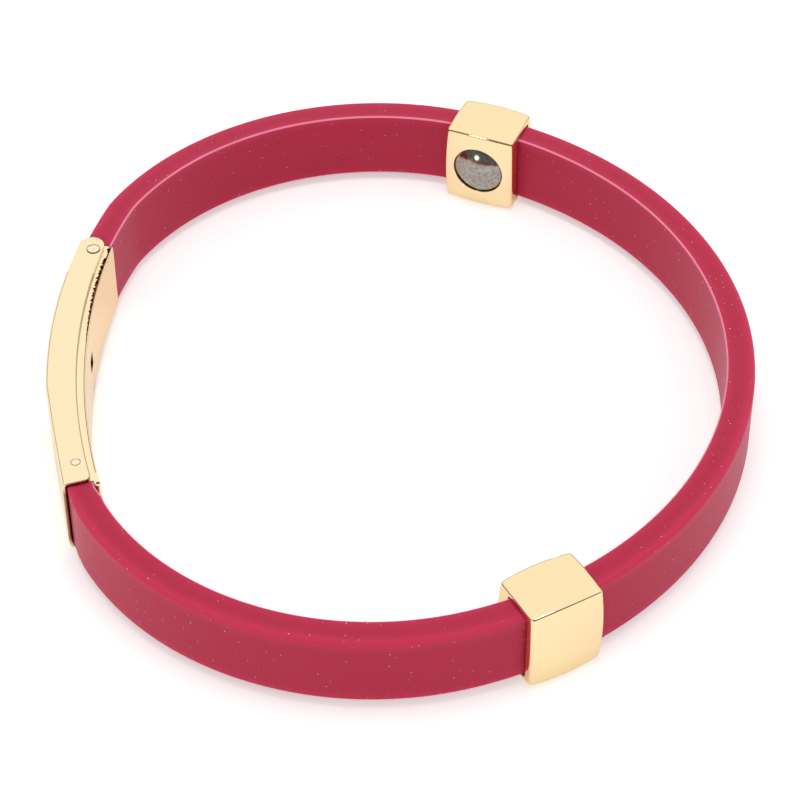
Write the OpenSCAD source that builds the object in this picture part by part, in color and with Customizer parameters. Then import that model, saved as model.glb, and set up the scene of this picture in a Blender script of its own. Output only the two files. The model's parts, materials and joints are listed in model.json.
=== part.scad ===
// Silicone wristband with two sliding metal beads and a fold-over clasp.
// The band is a ring of tangent arcs, lying on edge round a vertical axis.
// The clasp lies on the -X side, with its hinge towards +Y.

/* [Band] */
// Height of the band, along Z
band_w = 7.2; // [6.8:0.1:7.4]
// Thickness of the band between inner and outer face
band_t = 2.6; // [2.2:0.1:3.2]
// Width of the bevel that softens the band's four long edges
band_bevel = 0.25; // [0.15:0.05:0.5]
// Radius of the band where it follows the clasp
clasp_arc_r = 59.6; // [50:0.5:70]
// How far the band keeps the clasp's curve beyond the clasp
clasp_run = 1.05; // [0.6:0.05:2]
// Radius of the shoulder beside the clasp
shoulder_arc_r = 10; // [8:0.5:14]
// Turn of the shoulder, in degrees
shoulder_turn = 9.3; // [7:0.1:12]
// Radius of the long side
side_arc_r = 27.8; // [25:0.1:31]
// Turn of the long side, in degrees
side_turn = 78.2; // [74:0.1:82]

/* [Band ends] */
// Gap between the thinned ends and the base's flanges
tip_gap = 0.25; // [0.15:0.05:0.35]
// Thickness of the thinned ends
tip_t = 2.1; // [1.9:0.05:2.2]
// Thickness of the short neck in the clasp's mouth
neck_t = 2.2; // [2.0:0.05:2.3]
// How far the hook loop's arms lie inside the thinned end's upper and lower faces
arm_margin = 0.1; // [0.05:0.05:0.2]
// Gap left between a band shoulder and the metal beside it
shoulder_gap = 0.35; // [0.2:0.05:0.6]

/* [Clasp] */
// Thickness of the clasp's sheet metal
sheet = 0.35; // [0.3:0.05:0.45]
// Distance between the cover's outer face and its flange rim
flange_depth = 2.56; // [2.4:0.02:2.7]
// Gap between the cover's outer wall and the band
cover_gap = 0.05; // [0.02:0.01:0.1]
// Gap between sliding flanges
flange_gap = 0.1; // [0.06:0.02:0.14]
// Gap between the band's thinned ends and the sheet that they lie on
sheet_gap = 0.15; // [0.1:0.05:0.3]
// Length of the cover from the hinge pin to its square end
cover_reach = 31.9; // [28:0.1:34]
// Distance from the hinge pin to the upper end of the cover's outer wall
wall_setback = 3.3; // [3:0.1:5]
// Half the width of the cover's ears
ear_r = 1.2; // [1.1:0.05:1.22]
// How far the ears' round ends sit beyond the hinge pin
ear_offset = 0.54; // [0.3:0.02:0.6]
// Distance of the hinge pin from the X axis, along the clasp arc
hinge_s = 13.6; // [12.5:0.1:14.5]
// How far the base reaches beyond the cover's square end
base_lip = 0.45; // [0.2:0.05:0.6]
// Radius of the base's rolled lower edge
lip_r = 0.25; // [0.2:0.05:0.3]
// How far the rims of the base's flanges lie inside the pins' centres
seat_drop = 0.1; // [0.05:0.05:0.2]
// How far the base's flanges reach beyond the latch studs
flange_tail = 1.35; // [1.2:0.05:1.5]

/* [Hook] */
// Length of the window in the base
window_l = 1.6; // [1.4:0.1:2]
// Width of the window in the base
window_w = 1.5; // [1.3:0.1:1.8]
// Distance from the X axis to the window's lower end
window_s = 1.0; // [0.8:0.1:1.4]
// Height of the tongue above the base's inner face
tongue_h = 1.4; // [1.2:0.1:1.6]
// Distance between the tongue and the window's edge
tongue_setback = 0.1; // [0.05:0.05:0.2]
// Width of the tongue
tongue_w = 1.2; // [1:0.1:1.3]
// Width of the hook loop's arms and bar
loop_bar = 0.65; // [0.5:0.05:0.7]
// Thickness of the hook loop
loop_t = 0.7; // [0.6:0.05:0.8]
// Distance from the latch studs to the hook loop's pin
loop_pin_inset = 3.4; // [3:0.1:4]
// Gap between the hook loop and the tongue
hook_gap = 0.3; // [0.2:0.05:0.5]

/* [Pins] */
// Radius of the hinge pin
hinge_pin_r = 0.5; // [0.4:0.05:0.6]
// Radius of the hinge pin's head
hinge_head_r = 0.66; // [0.6:0.02:0.8]
// Radius of the latch studs
stud_r = 0.45; // [0.35:0.05:0.5]
// Distance from the cover's square end to the latch studs
stud_inset = 2.4; // [2:0.1:3]
// Radius of the hook loop's pin
loop_pin_r = 0.4; // [0.3:0.05:0.45]
// Running clearance of a turning pin, on the radius
pin_clear = 0.05; // [0.02:0.01:0.08]
// How far a pin's domed head stands above the cover
head_h = 0.15; // [0.1:0.05:0.2]

/* [Beads] */
// Length of a bead along the band, at its corners
bead_l = 7.0; // [6:0.1:8]
// Depth of a bead between inner and outer face, at its corners
bead_d = 5.2; // [5:0.1:5.6]
// Height of a bead, at its corners
bead_h = 8.3; // [8.2:0.1:9]
// Crown radius of the bead's inner, outer, top and bottom faces
face_crown_r = 30; // [24:1:45]
// Crown radius of the bead's two open ends
end_crown_r = 60; // [40:5:90]
// Gap between a bead's slot and the band
slot_gap = 0.15; // [0.1:0.05:0.2]
// How far the slot lies outside the bead's middle, which leaves metal for the magnet
slot_offset = 0.5; // [0.3:0.05:0.6]
// Place of the front bead on its arc, in degrees from +X
front_bead_angle = -61.0; // [-64:0.5:-45]
// Place of the back bead on its arc, in degrees from +X
back_bead_angle = 66.7; // [45:0.1:67]

/* [Magnets] */
// Diameter of a magnet
magnet_d = 5.0; // [4:0.1:5.4]
// Gap round a magnet in its seat
magnet_gap = 0.1; // [0.05:0.05:0.2]
// Height of the magnet's dome
dome_h = 0.8; // [0.5:0.1:1.2]
// Metal left between a magnet's seat and the slot
seat_floor = 0.3; // [0.2:0.05:0.4]
// How far the dome's rim lies below the bead's face
rim_depth = 0.25; // [0.1:0.05:0.3]

/* [Hidden] */
$fn = 96;
arc_fn = 360;
ball_fn = 200;
eps = 0.01;
// How far the stretches of one solid run into each other
join_lap = 0.3;
// How much lower the surface of a stretch lies, so that its ends fit inside its neighbours
inset = 0.01;

function dir(a) = [cos(a), sin(a)];
function crown_offset(half, a, b, r) = half - sqrt(r * r - a * a - b * b);

// Radii of the clasp's layers, measured from the centre of the clasp arc
cover_out_r = clasp_arc_r + band_t / 2 + cover_gap + sheet;
cover_in_r = cover_out_r - sheet;
rim_r = cover_out_r - flange_depth;
base_in_r = clasp_arc_r - tip_t / 2 - sheet_gap;
base_out_r = base_in_r - sheet;
base_rim_r = clasp_arc_r - seat_drop;
cover_half_w = band_w / 2 + flange_gap + sheet;
tip_w = band_w - 2 * (sheet + tip_gap);
loop_tip_w = tip_w - 2 * (flange_gap + loop_bar + arm_margin);

// Angles along the clasp arc, from -X towards +Y, for a length along the band's middle
function arc_angle(s) = s / clasp_arc_r * 180 / PI;
cover_end_s = hinge_s - cover_reach;
wall_end_s = hinge_s - wall_setback;
base_end_s = cover_end_s - base_lip;
stud_s = cover_end_s + stud_inset;
loop_pin_s = stud_s + loop_pin_inset;
ear_end_s = hinge_s + ear_offset + ear_r;
ear_centre_r = rim_r + ear_r;
flange_end_s = stud_s - flange_tail;

// Ends of the band's stretches inside the clasp
tip_a_s = window_s + window_l + shoulder_gap;
body_a_s = ear_end_s + shoulder_gap;
neck_s = flange_end_s - shoulder_gap;
body_b_s = base_end_s - lip_r - shoulder_gap;
narrow_s = loop_pin_s - tip_t / 2 - shoulder_gap;

// Chain of tangent arcs, each with its centre, from the clasp to the side opposite
turn_1 = 180 - arc_angle(max(body_a_s, -body_b_s) + clasp_run);
turn_2 = turn_1 - shoulder_turn;
turn_3 = turn_2 - side_turn;
chain_1 = (clasp_arc_r - shoulder_arc_r) * dir(turn_1);
chain_2 = chain_1 + (shoulder_arc_r - side_arc_r) * dir(turn_2);
end_arc_r = side_arc_r + chain_2[1] / sin(turn_3);
chain_3 = chain_2 + (side_arc_r - end_arc_r) * dir(turn_3);
// The clasp arc's centre puts the X axis origin midway between the part's two extremes
clasp_x = (cover_out_r - chain_3[0] - end_arc_r - band_t / 2) / 2;
clasp_centre = [clasp_x, 0];
shoulder_centre = clasp_centre + chain_1;
side_centre = clasp_centre + chain_2;
end_centre = clasp_centre + chain_3;

// Bead faces, measured from the bead's middle
bead_top = bead_h / 2 + face_crown_r
    - sqrt(face_crown_r * face_crown_r - bead_l * bead_l / 4 - bead_d * bead_d / 4);
bead_inner = bead_d / 2 + face_crown_r
    - sqrt(face_crown_r * face_crown_r - bead_l * bead_l / 4 - bead_h * bead_h / 4);
slot_half = band_t / 2 + slot_gap;
seat_bottom = slot_half - slot_offset + seat_floor;
slot_turn = bead_l / end_arc_r * 180 / PI;
// Middle of the band's height: the beads' crowned undersides rest on Z = 0
mid_z = bead_top;
// Length of the drills that cut the pins' holes
drill_h = 2 * (cover_half_w + head_h);

// Pieces are drawn about the middle of the band's height and then lifted on to their resting plane
module lifted() {
    translate([0, 0, mid_z])
        children();
}

// A slice of ring: radii r0 to r1, heights z0 to z1, angles a0 to a1
module ring_slice(r0, r1, z0, z1, a0, a1) {
    rotate([0, 0, a0])
        rotate_extrude(angle = a1 - a0, $fn = arc_fn)
            translate([r0, z0])
                square([r1 - r0, z1 - z0]);
}

// The same slice in the clasp's own places: s runs along the clasp arc from -X towards +Y
module clasp_slice(r0, r1, z0, z1, s0, s1) {
    translate(clasp_centre)
        ring_slice(r0, r1, z0, z1, 180 - arc_angle(s1), 180 - arc_angle(s0));
}

// Puts a child's Z axis at a place on the clasp: length s along the arc and radius r
module at_clasp(s, r) {
    translate(clasp_centre)
        rotate([0, 0, 180 - arc_angle(s)])
            translate([r, 0, 0])
                children();
}

// Mirrored pair, above and below the band's middle
module both_sides() {
    children();
    mirror([0, 0, 1])
        children();
}

// Outline of the band's section about its middle: a rectangle with bevelled corners
module band_section(t, w) {
    x = t / 2;
    y = w / 2;
    polygon([
        [x - band_bevel, y], [band_bevel - x, y], [-x, y - band_bevel], [-x, band_bevel - y],
        [band_bevel - x, -y], [x - band_bevel, -y], [x, band_bevel - y], [x, y - band_bevel]
    ]);
}

// One arc of the band about a centre
module band_arc(centre, r, a0, a1, sunk = 0) {
    translate(centre)
        rotate([0, 0, a0])
            rotate_extrude(angle = a1 - a0, $fn = arc_fn)
                translate([r, 0])
                    band_section(band_t - 2 * sunk, band_w - 2 * sunk);
}

// An arc between two others, whose ends run a little way into them
module joining_arc(centre, r, a0, a1) {
    lap_angle = join_lap / r * 180 / PI;
    band_arc(centre, r, a0 - lap_angle, a1 + lap_angle, inset);
}

// The band's run from one end of the clasp arc to the end of the side arc
module band_side(start_s) {
    band_arc(clasp_centre, clasp_arc_r, turn_1, 180 - arc_angle(start_s));
    joining_arc(shoulder_centre, shoulder_arc_r, turn_2, turn_1);
    band_arc(side_centre, side_arc_r, turn_3, turn_2);
}

// A thinned stretch of the band in the clasp, of thickness t and height w
module band_tip(t, w, s0, s1) {
    clasp_slice(clasp_arc_r - t / 2, clasp_arc_r + t / 2, -w / 2, w / 2, s0, s1);
}

module band() {
    color("#a62c4c")
        lifted()
            difference() {
                union() {
                    joining_arc(end_centre, end_arc_r, -turn_3, turn_3);
                    band_side(body_a_s);
                    mirror([0, 1, 0])
                        band_side(-body_b_s);
                    // End that lies in the base and is held by the hinge pin
                    band_tip(tip_t, tip_w, tip_a_s, body_a_s + join_lap);
                    // Neck in the clasp's mouth, and the end that carries the hook loop
                    band_tip(neck_t, band_w - 2 * band_bevel, body_b_s - join_lap, neck_s);
                    band_tip(tip_t, tip_w, neck_s - join_lap, narrow_s);
                    band_tip(tip_t, loop_tip_w, narrow_s - join_lap, loop_pin_s);
                    at_clasp(loop_pin_s, clasp_arc_r)
                        cylinder(h = loop_tip_w, r = tip_t / 2, center = true);
                }
                at_clasp(hinge_s, clasp_arc_r)
                    cylinder(h = drill_h, r = hinge_pin_r, center = true);
                at_clasp(loop_pin_s, clasp_arc_r)
                    cylinder(h = drill_h, r = loop_pin_r, center = true);
            }
}

module clasp_base() {
    tongue_s = window_s - tongue_setback;
    mid_sheet_r = base_out_r + sheet / 2;
    color("#e8c98c")
        lifted()
            difference() {
                union() {
                    clasp_slice(base_out_r, base_in_r, -band_w / 2, band_w / 2, base_end_s, hinge_s + ear_r);
                    at_clasp(base_end_s, mid_sheet_r)
                        cylinder(h = band_w, r = lip_r, center = true);
                    clasp_slice(mid_sheet_r, base_in_r + tongue_h,
                        -tongue_w / 2, tongue_w / 2, tongue_s - sheet, tongue_s);
                    both_sides() {
                        clasp_slice(mid_sheet_r, base_rim_r, band_w / 2 - sheet, band_w / 2,
                            flange_end_s, hinge_s);
                        at_clasp(hinge_s, base_rim_r)
                            translate([0, 0, band_w / 2 - sheet + inset])
                                cylinder(h = sheet - 2 * inset, r = ear_r);
                    }
                }
                clasp_slice(base_out_r - sheet, base_in_r + sheet, -window_w / 2, window_w / 2,
                    window_s, window_s + window_l);
                at_clasp(stud_s, clasp_arc_r)
                    cylinder(h = drill_h, r = stud_r + pin_clear, center = true);
                at_clasp(hinge_s, clasp_arc_r)
                    cylinder(h = drill_h, r = hinge_pin_r, center = true);
            }
}

module clasp_cover() {
    color("#e8c98c")
        lifted()
            difference() {
                union() {
                    clasp_slice(cover_in_r, cover_out_r, -cover_half_w, cover_half_w,
                        cover_end_s, wall_end_s);
                    both_sides() {
                        clasp_slice(rim_r, cover_in_r + sheet / 2, cover_half_w - sheet, cover_half_w,
                            cover_end_s, wall_end_s);
                        clasp_slice(rim_r + inset, rim_r + 2 * ear_r - inset, cover_half_w - sheet + inset,
                            cover_half_w - inset, wall_end_s - join_lap, hinge_s + ear_offset);
                        at_clasp(hinge_s + ear_offset, ear_centre_r)
                            translate([0, 0, cover_half_w - sheet])
                                cylinder(h = sheet, r = ear_r);
                    }
                }
                at_clasp(hinge_s, clasp_arc_r)
                    cylinder(h = drill_h, r = hinge_pin_r + pin_clear, center = true);
                at_clasp(stud_s, clasp_arc_r)
                    cylinder(h = drill_h, r = stud_r, center = true);
            }
}

// A domed head that stands on Z = 0
module domed_head(r, h) {
    ball_r = (r * r + h * h) / (2 * h);
    intersection() {
        translate([0, 0, h - ball_r])
            sphere(ball_r);
        cylinder(h = h, r = r);
    }
}

module hinge_pin() {
    color("#f2dcae")
        lifted()
            at_clasp(hinge_s, clasp_arc_r) {
                cylinder(h = 2 * (cover_half_w + pin_clear), r = hinge_pin_r, center = true);
                both_sides()
                    translate([0, 0, cover_half_w + pin_clear])
                        domed_head(hinge_head_r, head_h);
            }
}

module latch_studs() {
    stud_h = 2 * sheet + flange_gap - pin_clear;
    color("#f2dcae")
        lifted()
            at_clasp(stud_s, clasp_arc_r)
                both_sides()
                    translate([0, 0, cover_half_w]) {
                        translate([0, 0, -stud_h])
                            cylinder(h = stud_h, r = stud_r);
                        domed_head(stud_r, head_h);
                    }
}

module hook_loop() {
    loop_in_r = base_in_r + sheet_gap;
    loop_out_r = loop_in_r + loop_t;
    arm_in = loop_tip_w / 2 + flange_gap;
    bar_half_w = arm_in + join_lap;
    bar_s = window_s + hook_gap;
    bar_end_s = bar_s + loop_bar;
    color("#e8c98c")
        lifted()
            difference() {
                union() {
                    clasp_slice(loop_in_r + inset, loop_out_r - inset, -bar_half_w, bar_half_w,
                        bar_s, bar_end_s - inset);
                    both_sides() {
                        clasp_slice(loop_in_r, loop_out_r, arm_in, arm_in + loop_bar,
                            loop_pin_s, bar_end_s);
                        at_clasp(loop_pin_s, clasp_arc_r)
                            translate([0, 0, arm_in + inset])
                                cylinder(h = loop_bar - 2 * inset, r = tip_t / 2 - sheet_gap);
                    }
                }
                at_clasp(loop_pin_s, clasp_arc_r)
                    cylinder(h = drill_h, r = loop_pin_r + pin_clear, center = true);
            }
}

module loop_pin() {
    color("#f2dcae")
        lifted()
            at_clasp(loop_pin_s, clasp_arc_r)
                cylinder(h = loop_tip_w + 2 * (flange_gap + loop_bar), r = loop_pin_r, center = true);
}

// Puts a child at a bead's place: X along the band, Y outwards, Z up
module at_bead(angle) {
    translate(end_centre)
        rotate([0, 0, angle])
            translate([end_arc_r - slot_offset, 0, 0])
                rotate([0, 0, -90])
                    children();
}

// Two large balls whose overlap is a slab, crowned on both faces and square to Z
module crowned_slab(half, a, b, r) {
    intersection_for(side = [-1, 1])
        translate([0, 0, side * crown_offset(half, a, b, r)])
            sphere(r, $fn = ball_fn);
}

// The magnet's seat, or the magnet itself when grown is 0: a disc that faces the wrist
module magnet_disc(grown, from, to) {
    translate([0, from, 0])
        rotate([90, 0, 0])
            cylinder(h = from - to, r = magnet_d / 2 + grown);
}

module bead_shell(angle) {
    color("#f0d59a")
        lifted()
            difference() {
                at_bead(angle)
                    difference() {
                        intersection() {
                            crowned_slab(bead_h / 2, bead_l / 2, bead_d / 2, face_crown_r);
                            rotate([90, 0, 0])
                                crowned_slab(bead_d / 2, bead_l / 2, bead_h / 2, face_crown_r);
                            rotate([0, 90, 0])
                                crowned_slab(bead_l / 2, bead_d / 2, bead_h / 2, end_crown_r);
                        }
                        magnet_disc(magnet_gap, -seat_bottom, -bead_d);
                    }
                // Slot that follows the band's arc
                translate(end_centre)
                    ring_slice(end_arc_r - slot_half, end_arc_r + slot_half,
                        -band_w / 2 - slot_gap, band_w / 2 + slot_gap, angle - slot_turn, angle + slot_turn);
            }
}

module bead_magnet(angle) {
    ball_r = (magnet_d * magnet_d / 4 + dome_h * dome_h) / (2 * dome_h);
    rim_y = -bead_inner + rim_depth;
    color("#4a4a4e")
        lifted()
            at_bead(angle)
                intersection() {
                    magnet_disc(0, -seat_bottom, rim_y - dome_h - eps);
                    translate([0, rim_y - dome_h + ball_r, 0])
                        sphere(ball_r, $fn = ball_fn);
                }
}

module bead_front_shell() { bead_shell(front_bead_angle); }
module bead_front_magnet() { bead_magnet(front_bead_angle); }
module bead_back_shell() { bead_shell(back_bead_angle); }
module bead_back_magnet() { bead_magnet(back_bead_angle); }

band();
clasp_base();
clasp_cover();
hinge_pin();
latch_studs();
hook_loop();
loop_pin();
bead_front_shell();
bead_front_magnet();
bead_back_shell();
bead_back_magnet();
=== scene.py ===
"""Silicone wristband with two sliding metal beads and a fold-over clasp, dressed over its CAD frame.

Sizes are in millimetres until a mesh is made, and about the middle of the band's height.
"""

import json
import math

import bmesh
import bpy
from mathutils import Matrix, Vector

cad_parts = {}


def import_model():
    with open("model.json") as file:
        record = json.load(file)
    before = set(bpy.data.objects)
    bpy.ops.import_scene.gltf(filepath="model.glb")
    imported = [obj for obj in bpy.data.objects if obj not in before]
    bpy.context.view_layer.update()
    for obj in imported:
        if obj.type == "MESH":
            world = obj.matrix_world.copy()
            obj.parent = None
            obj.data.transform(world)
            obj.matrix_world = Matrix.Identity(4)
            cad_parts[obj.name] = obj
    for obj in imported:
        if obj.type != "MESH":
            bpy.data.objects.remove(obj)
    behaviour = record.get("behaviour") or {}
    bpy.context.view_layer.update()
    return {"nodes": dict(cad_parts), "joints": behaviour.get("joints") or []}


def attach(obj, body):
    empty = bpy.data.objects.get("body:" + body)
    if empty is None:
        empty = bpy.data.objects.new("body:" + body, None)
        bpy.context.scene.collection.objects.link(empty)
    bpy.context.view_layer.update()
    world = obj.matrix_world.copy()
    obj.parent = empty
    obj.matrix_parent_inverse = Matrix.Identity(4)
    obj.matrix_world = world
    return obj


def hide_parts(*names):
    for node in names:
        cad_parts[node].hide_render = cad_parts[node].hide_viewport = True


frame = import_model()

MM = 0.001
# Points of a mesh this near to each other, in metres, are one point
WELD = 1e-7
# Turned skins begin and end this near their axis
AXIS_R = 1e-4
JOINTS = {joint["name"]: joint for joint in frame["joints"]}

# ---------------------------------------------------------------- sizes, in millimetres

BAND_W = 7.2
BAND_T = 2.6
# The mould's parting edge is crisp on the wrist side and soft on the outer side
INNER_EDGE_R = 0.12
OUTER_EDGE_R = 0.42
# How far in from an edge of the band the painted glow reaches, which stands for light coming through
PAINTED_GLOW_DEPTH = 1.0
# The longest straight step of the band round its arcs
BAND_STEP = 0.8
CLASP_ARC_R = 59.6
CLASP_RUN = 1.05
SHOULDER_ARC_R = 10.0
SHOULDER_TURN = 9.3
SIDE_ARC_R = 27.8
SIDE_TURN = 78.2

SHEET = 0.35
SHEET_EDGE_R = 0.06
# The band's thinned ends: thickness, edge radius and widths
TIP_T = 2.1
TIP_EDGE_R = 0.2
TIP_W = BAND_W - 2 * (SHEET + 0.25)
LOOP_TIP_W = TIP_W - 1.7
SHOULDER_GAP = 0.35

COVER_L = 31.9
COVER_DEPTH = 2.56
COVER_BACK_GAP = 0.05
COVER_SIDE_GAP = 0.1
COVER_OUT_R = CLASP_ARC_R + BAND_T / 2 + COVER_BACK_GAP + SHEET
RIM_R = COVER_OUT_R - COVER_DEPTH
COVER_HALF_W = BAND_W / 2 + COVER_SIDE_GAP + SHEET
COVER_BEND_R = 0.45
BEND_STEPS = 10
BASE_OUT_R = 58.05
BASE_HALF_W = BAND_W / 2
BASE_RIM_R = 59.5
# Places whose names end in S are lengths along the clasp arc, from its middle at -X towards +Y
HINGE_S = 13.6
COVER_END_S = HINGE_S - COVER_L
WALL_END_S = HINGE_S - 3.3
BASE_END_S = COVER_END_S - 0.45
LIP_R = 0.25
STUD_S = COVER_END_S + 2.4
LOOP_PIN_S = STUD_S + 3.4
FLANGE_END_S = STUD_S - 1.35
EAR_R = 1.2
EAR_S = HINGE_S + 0.54
WINDOW_S = 1.0
WINDOW_L = 1.6
WINDOW_W = 1.5
TONGUE_S = WINDOW_S - 0.1
TONGUE_W = 1.2
TONGUE_H = 1.4

# How far the clasp's wrist side lies inside its own arc at the middle, because it is flatter than the back
BASE_FLATTEN = 0.38
RIM_FLATTEN = 0.30
CLASP_MIDDLE_S = (BASE_END_S + HINGE_S + EAR_R) / 2
CLASP_HALF_L = HINGE_S + EAR_R - CLASP_MIDDLE_S
# The cover's flanges have a round corner at its square end
COVER_CORNER_R = 0.5
# How far from the square end the cover's back gets painted shade, and how dark the painted shade on its end
# and its rim is
END_SHADE_L = 0.4
END_SHADE_DARKNESS = 0.9
RIM_SHADE_DARKNESS = 0.7
# How far the cover's back lies inside its arc between its middle and its square end, and over what length
BACK_FLATTEN = 0.3
BACK_FLATTEN_L = 13.0
# The longest straight step of a plain strip along the clasp
SWEEP_STEP = 0.5
# The seam in the base's flanks: width and depth at its closed end, and how much it gains to its open end
SEAM_W = 0.05
SEAM_GAIN_W = 0.27
SEAM_DEPTH = 0.08
SEAM_GAIN_DEPTH = 0.2
# Share of its width by which the seam's sheared edge wanders, and length and phase of the waves in it
SEAM_RAGGED = 0.55
SHEAR_WAVES = ((0.55, 0.0), (0.83, 1.0), (0.37, 2.0))

PIN_R = 0.5
PIN_HEAD_R = 0.66
PIN_HEAD_H = 0.15
PIN_DIMPLE = 0.13
STUD_R = 0.45
STUD_HEAD_H = 0.18
STUD_DIMPLE = 0.03
STUD_L = 0.75
# The ring of painted shade round a head's rim, from one radius to another
PIN_SHADE_RING = (0.58, 0.7)
STUD_SHADE_RING = (0.39, 0.5)

BEAD_L = 7.0
BEAD_D = 5.2
BEAD_H = 8.3
FACE_CROWN_R = 30.0
END_CROWN_R = 60.0
BEAD_EDGE_R = 0.3
# How strongly the points of a bead's outline crowd towards its edges
CROWDING = 0.13
SLOT_GAP = 0.15
SLOT_OFFSET = 0.5
SLOT_EDGE_R = 0.12
SLOT_CORNER_R = 0.3
FRONT_BEAD_ANGLE = -61.0
BACK_BEAD_ANGLE = 66.7
MAGNET_D = 5.0
SEAT_GAP = 0.1
DOME_H = 0.8
RIM_DEPTH = 0.25
SEAT_FLOOR = 0.3
# The seat's mouth widens by a round bevel: where it begins below the face, its height and its width
MOUTH_DEPTH = 0.22
MOUTH_RISE = 0.14
MOUTH_W = 0.12

# ---------------------------------------------------------------- the band's route

hinge_x, _, hinge_z = (1000 * c for c in JOINTS["cover_hinge"]["pos_m"])
MID_Z = hinge_z
HINGE_ANGLE = math.pi - HINGE_S / CLASP_ARC_R
CLASP_X = hinge_x - CLASP_ARC_R * math.cos(HINGE_ANGLE)


def direction(degrees):
    """Unit vector in plan, as (x, y)."""
    return Vector((math.cos(math.radians(degrees)), math.sin(math.radians(degrees))))


BODY_B_S = BASE_END_S - LIP_R - SHOULDER_GAP
TURN_1 = 180 - math.degrees((CLASP_RUN - BODY_B_S) / CLASP_ARC_R)
TURN_2 = TURN_1 - SHOULDER_TURN
TURN_3 = TURN_2 - SIDE_TURN
CLASP_CENTRE = Vector((CLASP_X, 0))
SHOULDER_CENTRE = CLASP_CENTRE + (CLASP_ARC_R - SHOULDER_ARC_R) * direction(TURN_1)
SIDE_CENTRE = SHOULDER_CENTRE + (SHOULDER_ARC_R - SIDE_ARC_R) * direction(TURN_2)
END_ARC_R = SIDE_ARC_R + SIDE_CENTRE.y / math.sin(math.radians(TURN_3))
END_CENTRE = SIDE_CENTRE + (SIDE_ARC_R - END_ARC_R) * direction(TURN_3)


def clasp_degrees(s):
    """Polar angle of a place on the clasp, s millimetres along its arc from -X towards +Y."""
    return 180 - math.degrees(s / CLASP_ARC_R)


def clasp_point(s, r, z=0.0):
    """A place on the clasp: length s along the arc, radius r and height z."""
    at = CLASP_CENTRE + r * direction(clasp_degrees(s))
    return Vector((at.x, at.y, z))


# ---------------------------------------------------------------- mesh helpers

def make_object(name, verts, faces, lift=True, painted_shading=None):
    """A mesh object from points in millimetres. A list of values may give each point painted light or shade,
    which its material reads into its colour.
    """
    mesh = bpy.data.meshes.new(name)
    rise = MID_Z if lift else 0.0
    mesh.from_pydata([(v[0] * MM, v[1] * MM, (v[2] + rise) * MM) for v in verts], [], faces)
    if painted_shading:
        mesh.attributes.new("shade", "FLOAT", "POINT").data.foreach_set("value", painted_shading)
    mesh.validate()
    work = bmesh.new()
    work.from_mesh(mesh)
    bmesh.ops.remove_doubles(work, verts=work.verts, dist=WELD)
    bmesh.ops.recalc_face_normals(work, faces=work.faces)
    work.to_mesh(mesh)
    work.free()
    piece = bpy.data.objects.new(name, mesh)
    bpy.context.scene.collection.objects.link(piece)
    return piece


def loft(loops, closed=False):
    """Points and faces of a skin over loops of equal length. It is capped at both ends unless closed."""
    count = len(loops[0])
    verts = [point for loop in loops for point in loop]
    faces = []
    last = len(loops) if closed else len(loops) - 1
    for i in range(last):
        a = i * count
        b = (i + 1) % len(loops) * count
        for j in range(count):
            k = (j + 1) % count
            faces.append((a + j, a + k, b + k, b + j))
    if not closed:
        faces.append(tuple(range(count))[::-1])
        faces.append(tuple(range((len(loops) - 1) * count, len(loops) * count)))
    return verts, faces


def joined(parts):
    """Points and faces of several skins as one list."""
    verts, faces = [], []
    for part_verts, part_faces in parts:
        base = len(verts)
        verts.extend(part_verts)
        faces.extend(tuple(base + i for i in face) for face in part_faces)
    return verts, faces


def arc_points(centre, radius, start, end, steps):
    """Points of an arc in a plane, with both its ends."""
    angles = [start + (end - start) * i / steps for i in range(steps + 1)]
    return [(centre[0] + radius * math.cos(a), centre[1] + radius * math.sin(a)) for a in angles]


def rounded_rectangle(half_x, half_y, right_r, left_r=None, steps=5):
    """Outline of a rectangle with round corners about the origin. Its left corners may have a radius of
    their own."""
    points = []
    for quarter, (sx, sy) in enumerate(((1, 1), (-1, 1), (-1, -1), (1, -1))):
        radius = right_r if sx > 0 or left_r is None else left_r
        centre = (sx * (half_x - radius), sy * (half_y - radius))
        start = quarter * math.pi / 2
        points += arc_points(centre, radius, start, start + math.pi / 2, steps)
    return points


def turned(profile, sides=64):
    """A turned skin about Z from (radius, height) points that start and end near the axis."""
    loops = []
    for radius, height in profile:
        loops.append([(radius * math.cos(2 * math.pi * i / sides),
                       radius * math.sin(2 * math.pi * i / sides), height) for i in range(sides)])
    return loft(loops)


def smooth(piece, angle, weighted=True):
    """Smooth shading that keeps creases sharper than an angle in degrees."""
    piece.data.shade_smooth()
    piece.data.set_sharp_from_angle(angle=math.radians(angle))
    if weighted:
        modifier = piece.modifiers.new("weighted_normals", "WEIGHTED_NORMAL")
        modifier.keep_sharp = True
    return piece


def cut(piece, tool):
    """Cuts a tool out of a piece for good and throws the tool away."""
    modifier = piece.modifiers.new("cut", "BOOLEAN")
    modifier.object = tool
    modifier.operation = "DIFFERENCE"
    modifier.solver = "EXACT"
    bpy.context.view_layer.update()
    graph = bpy.context.evaluated_depsgraph_get()
    mesh = bpy.data.meshes.new_from_object(piece.evaluated_get(graph))
    piece.modifiers.clear()
    old = piece.data
    piece.data = mesh
    mesh.name = piece.name
    bpy.data.meshes.remove(old)
    bpy.data.objects.remove(tool)
    return piece


# ---------------------------------------------------------------- materials

def linear(hex_colour):
    """An sRGB hex colour as linear RGBA."""
    channels = [int(hex_colour[i:i + 2], 16) / 255 for i in (1, 3, 5)]
    return tuple(c / 12.92 if c <= 0.04045 else ((c + 0.055) / 1.055) ** 2.4 for c in channels) + (1.0,)


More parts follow.
